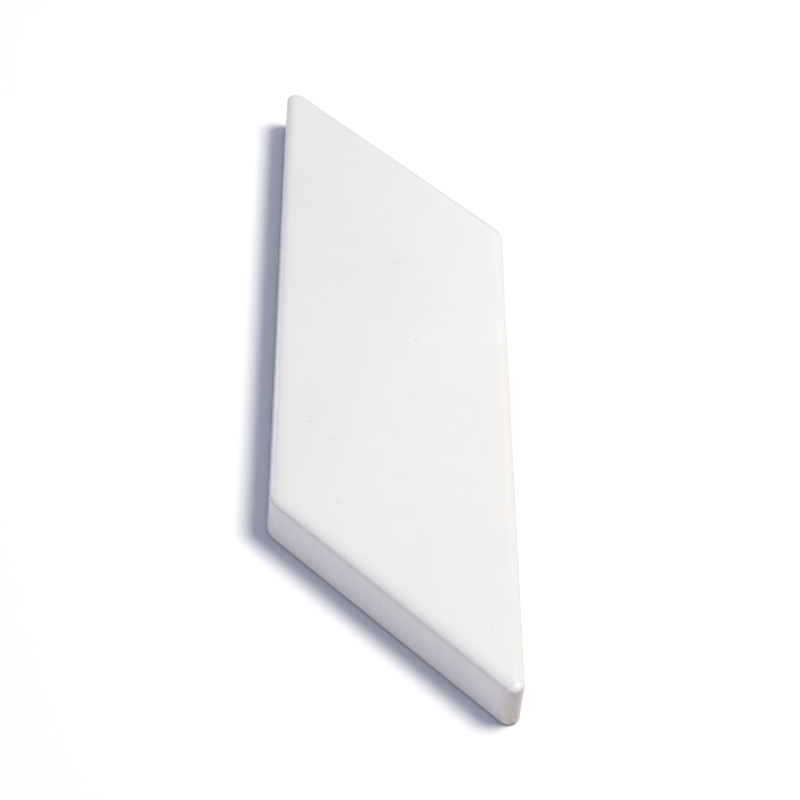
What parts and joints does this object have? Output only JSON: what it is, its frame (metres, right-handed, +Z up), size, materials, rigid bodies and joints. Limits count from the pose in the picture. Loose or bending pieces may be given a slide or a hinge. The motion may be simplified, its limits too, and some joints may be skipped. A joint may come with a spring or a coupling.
{
  "type": "raised pavement marker",
  "caption": "Low glazed ceramic road marker, a skewed bar with rounded edges and a studded underside, bonded to the road as half of a chevron or arrow.",
  "frame": {"origin": "centre of the flat resting face made by the underside studs, at road level", "axes": "+Y along the long sides, +X across them, +Z up from the road; the pointed corners are at -X +Y and at +X -Y"},
  "size_m": [0.095, 0.3476, 0.02],
  "materials": {
    "stoneware": "unglazed dry-pressed vitreous stoneware, matt, buff brown",
    "engobe": "fired white slip, matt, seen only as a thin line at the foot",
    "white_glaze": "opaque white gloss glaze with a few pinholes"
  },
  "bodies": {
    "root": {"ceramic_body": "stoneware", "engobe_coat": "engobe", "glaze_coat": "white_glaze"}
  },
  "joints": []
}
